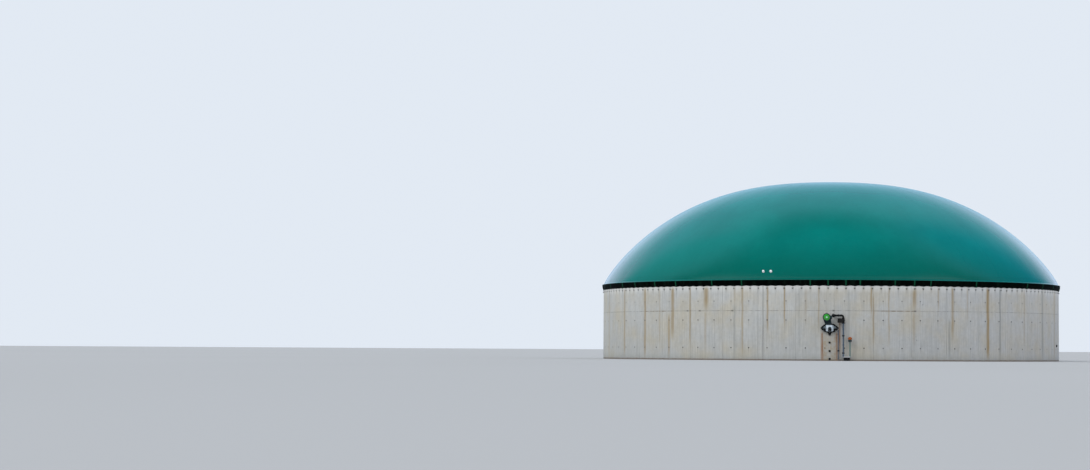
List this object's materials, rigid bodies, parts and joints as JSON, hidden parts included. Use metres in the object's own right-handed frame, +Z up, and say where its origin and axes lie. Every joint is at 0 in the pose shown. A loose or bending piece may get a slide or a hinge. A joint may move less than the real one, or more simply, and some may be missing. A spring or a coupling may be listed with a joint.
{
  "type": "biogas digester",
  "caption": "Round concrete digester tank under an air-held double membrane dome, with a laced skirt, a side agitator drive, pipework and a small foot pit.",
  "frame": {"origin": "on the tank's axis, at ground level, which is the underside of the base slab", "axes": "+Z up; the front, with the agitator drive, faces -Y; +X to the right seen from the front"},
  "size_m": [30.69, 31.5818, 11.933],
  "materials": {
    "concrete": "formwork-faced concrete, weathered and streaked",
    "membrane": "glossy coated fabric, green",
    "skirt": "satin black sheet",
    "galvanised": "dull zinc",
    "dark_steel": "dark paint with rust",
    "gear_teal": "dark teal gloss paint",
    "pipe_grey": "blue-grey paint",
    "motor_green": "vivid green gloss paint",
    "black_plastic": "satin black",
    "white_plastic": "white with dust",
    "orange_plastic": "faded orange"
  },
  "bodies": {
    "root": {"base_slab": "concrete", "wall_section_01": "concrete", "wall_section_02": "concrete", "wall_section_03": "concrete", "wall_section_04": "concrete", "wall_section_05": "concrete", "wall_section_06": "concrete", "wall_section_07": "concrete", "wall_section_08": "concrete", "outer_membrane": "membrane", "skirt_section_01": "skirt", "skirt_section_02": "skirt", "skirt_section_03": "skirt", "skirt_section_04": "skirt", "skirt_section_05": "skirt", "skirt_section_06": "skirt", "skirt_section_07": "skirt", "skirt_section_08": "skirt", "sight_port_left": "white_plastic", "sight_port_right": "white_plastic", "drive_wall_plate": "galvanised", "drive_yoke": "dark_steel", "yoke_foot": "dark_steel", "shaft_bearing": "dark_steel", "gearbox": "gear_teal", "motor_body": "motor_green", "motor_hood": "motor_green", "motor_terminal_box": "gear_teal", "sampling_plug_upper": "black_plastic", "sampling_plug_middle": "black_plastic", "sampling_plug_lower": "black_plastic", "header_sleeve": "dark_steel", "header_pipe": "black_plastic", "gate_valve": "dark_steel", "downpipe": "pipe_grey", "downpipe_clamp_upper": "dark_steel", "downpipe_clamp_lower": "dark_steel", "drain_pipe": "pipe_grey", "drain_clip": "dark_steel", "pit_ring": "black_plastic", "pit_lid": "white_plastic", "standpipe": "pipe_grey", "standpipe_collar": "gear_teal", "standpipe_cap": "orange_plastic", "wall_stub": "black_plastic"}
  },
  "joints": []
}
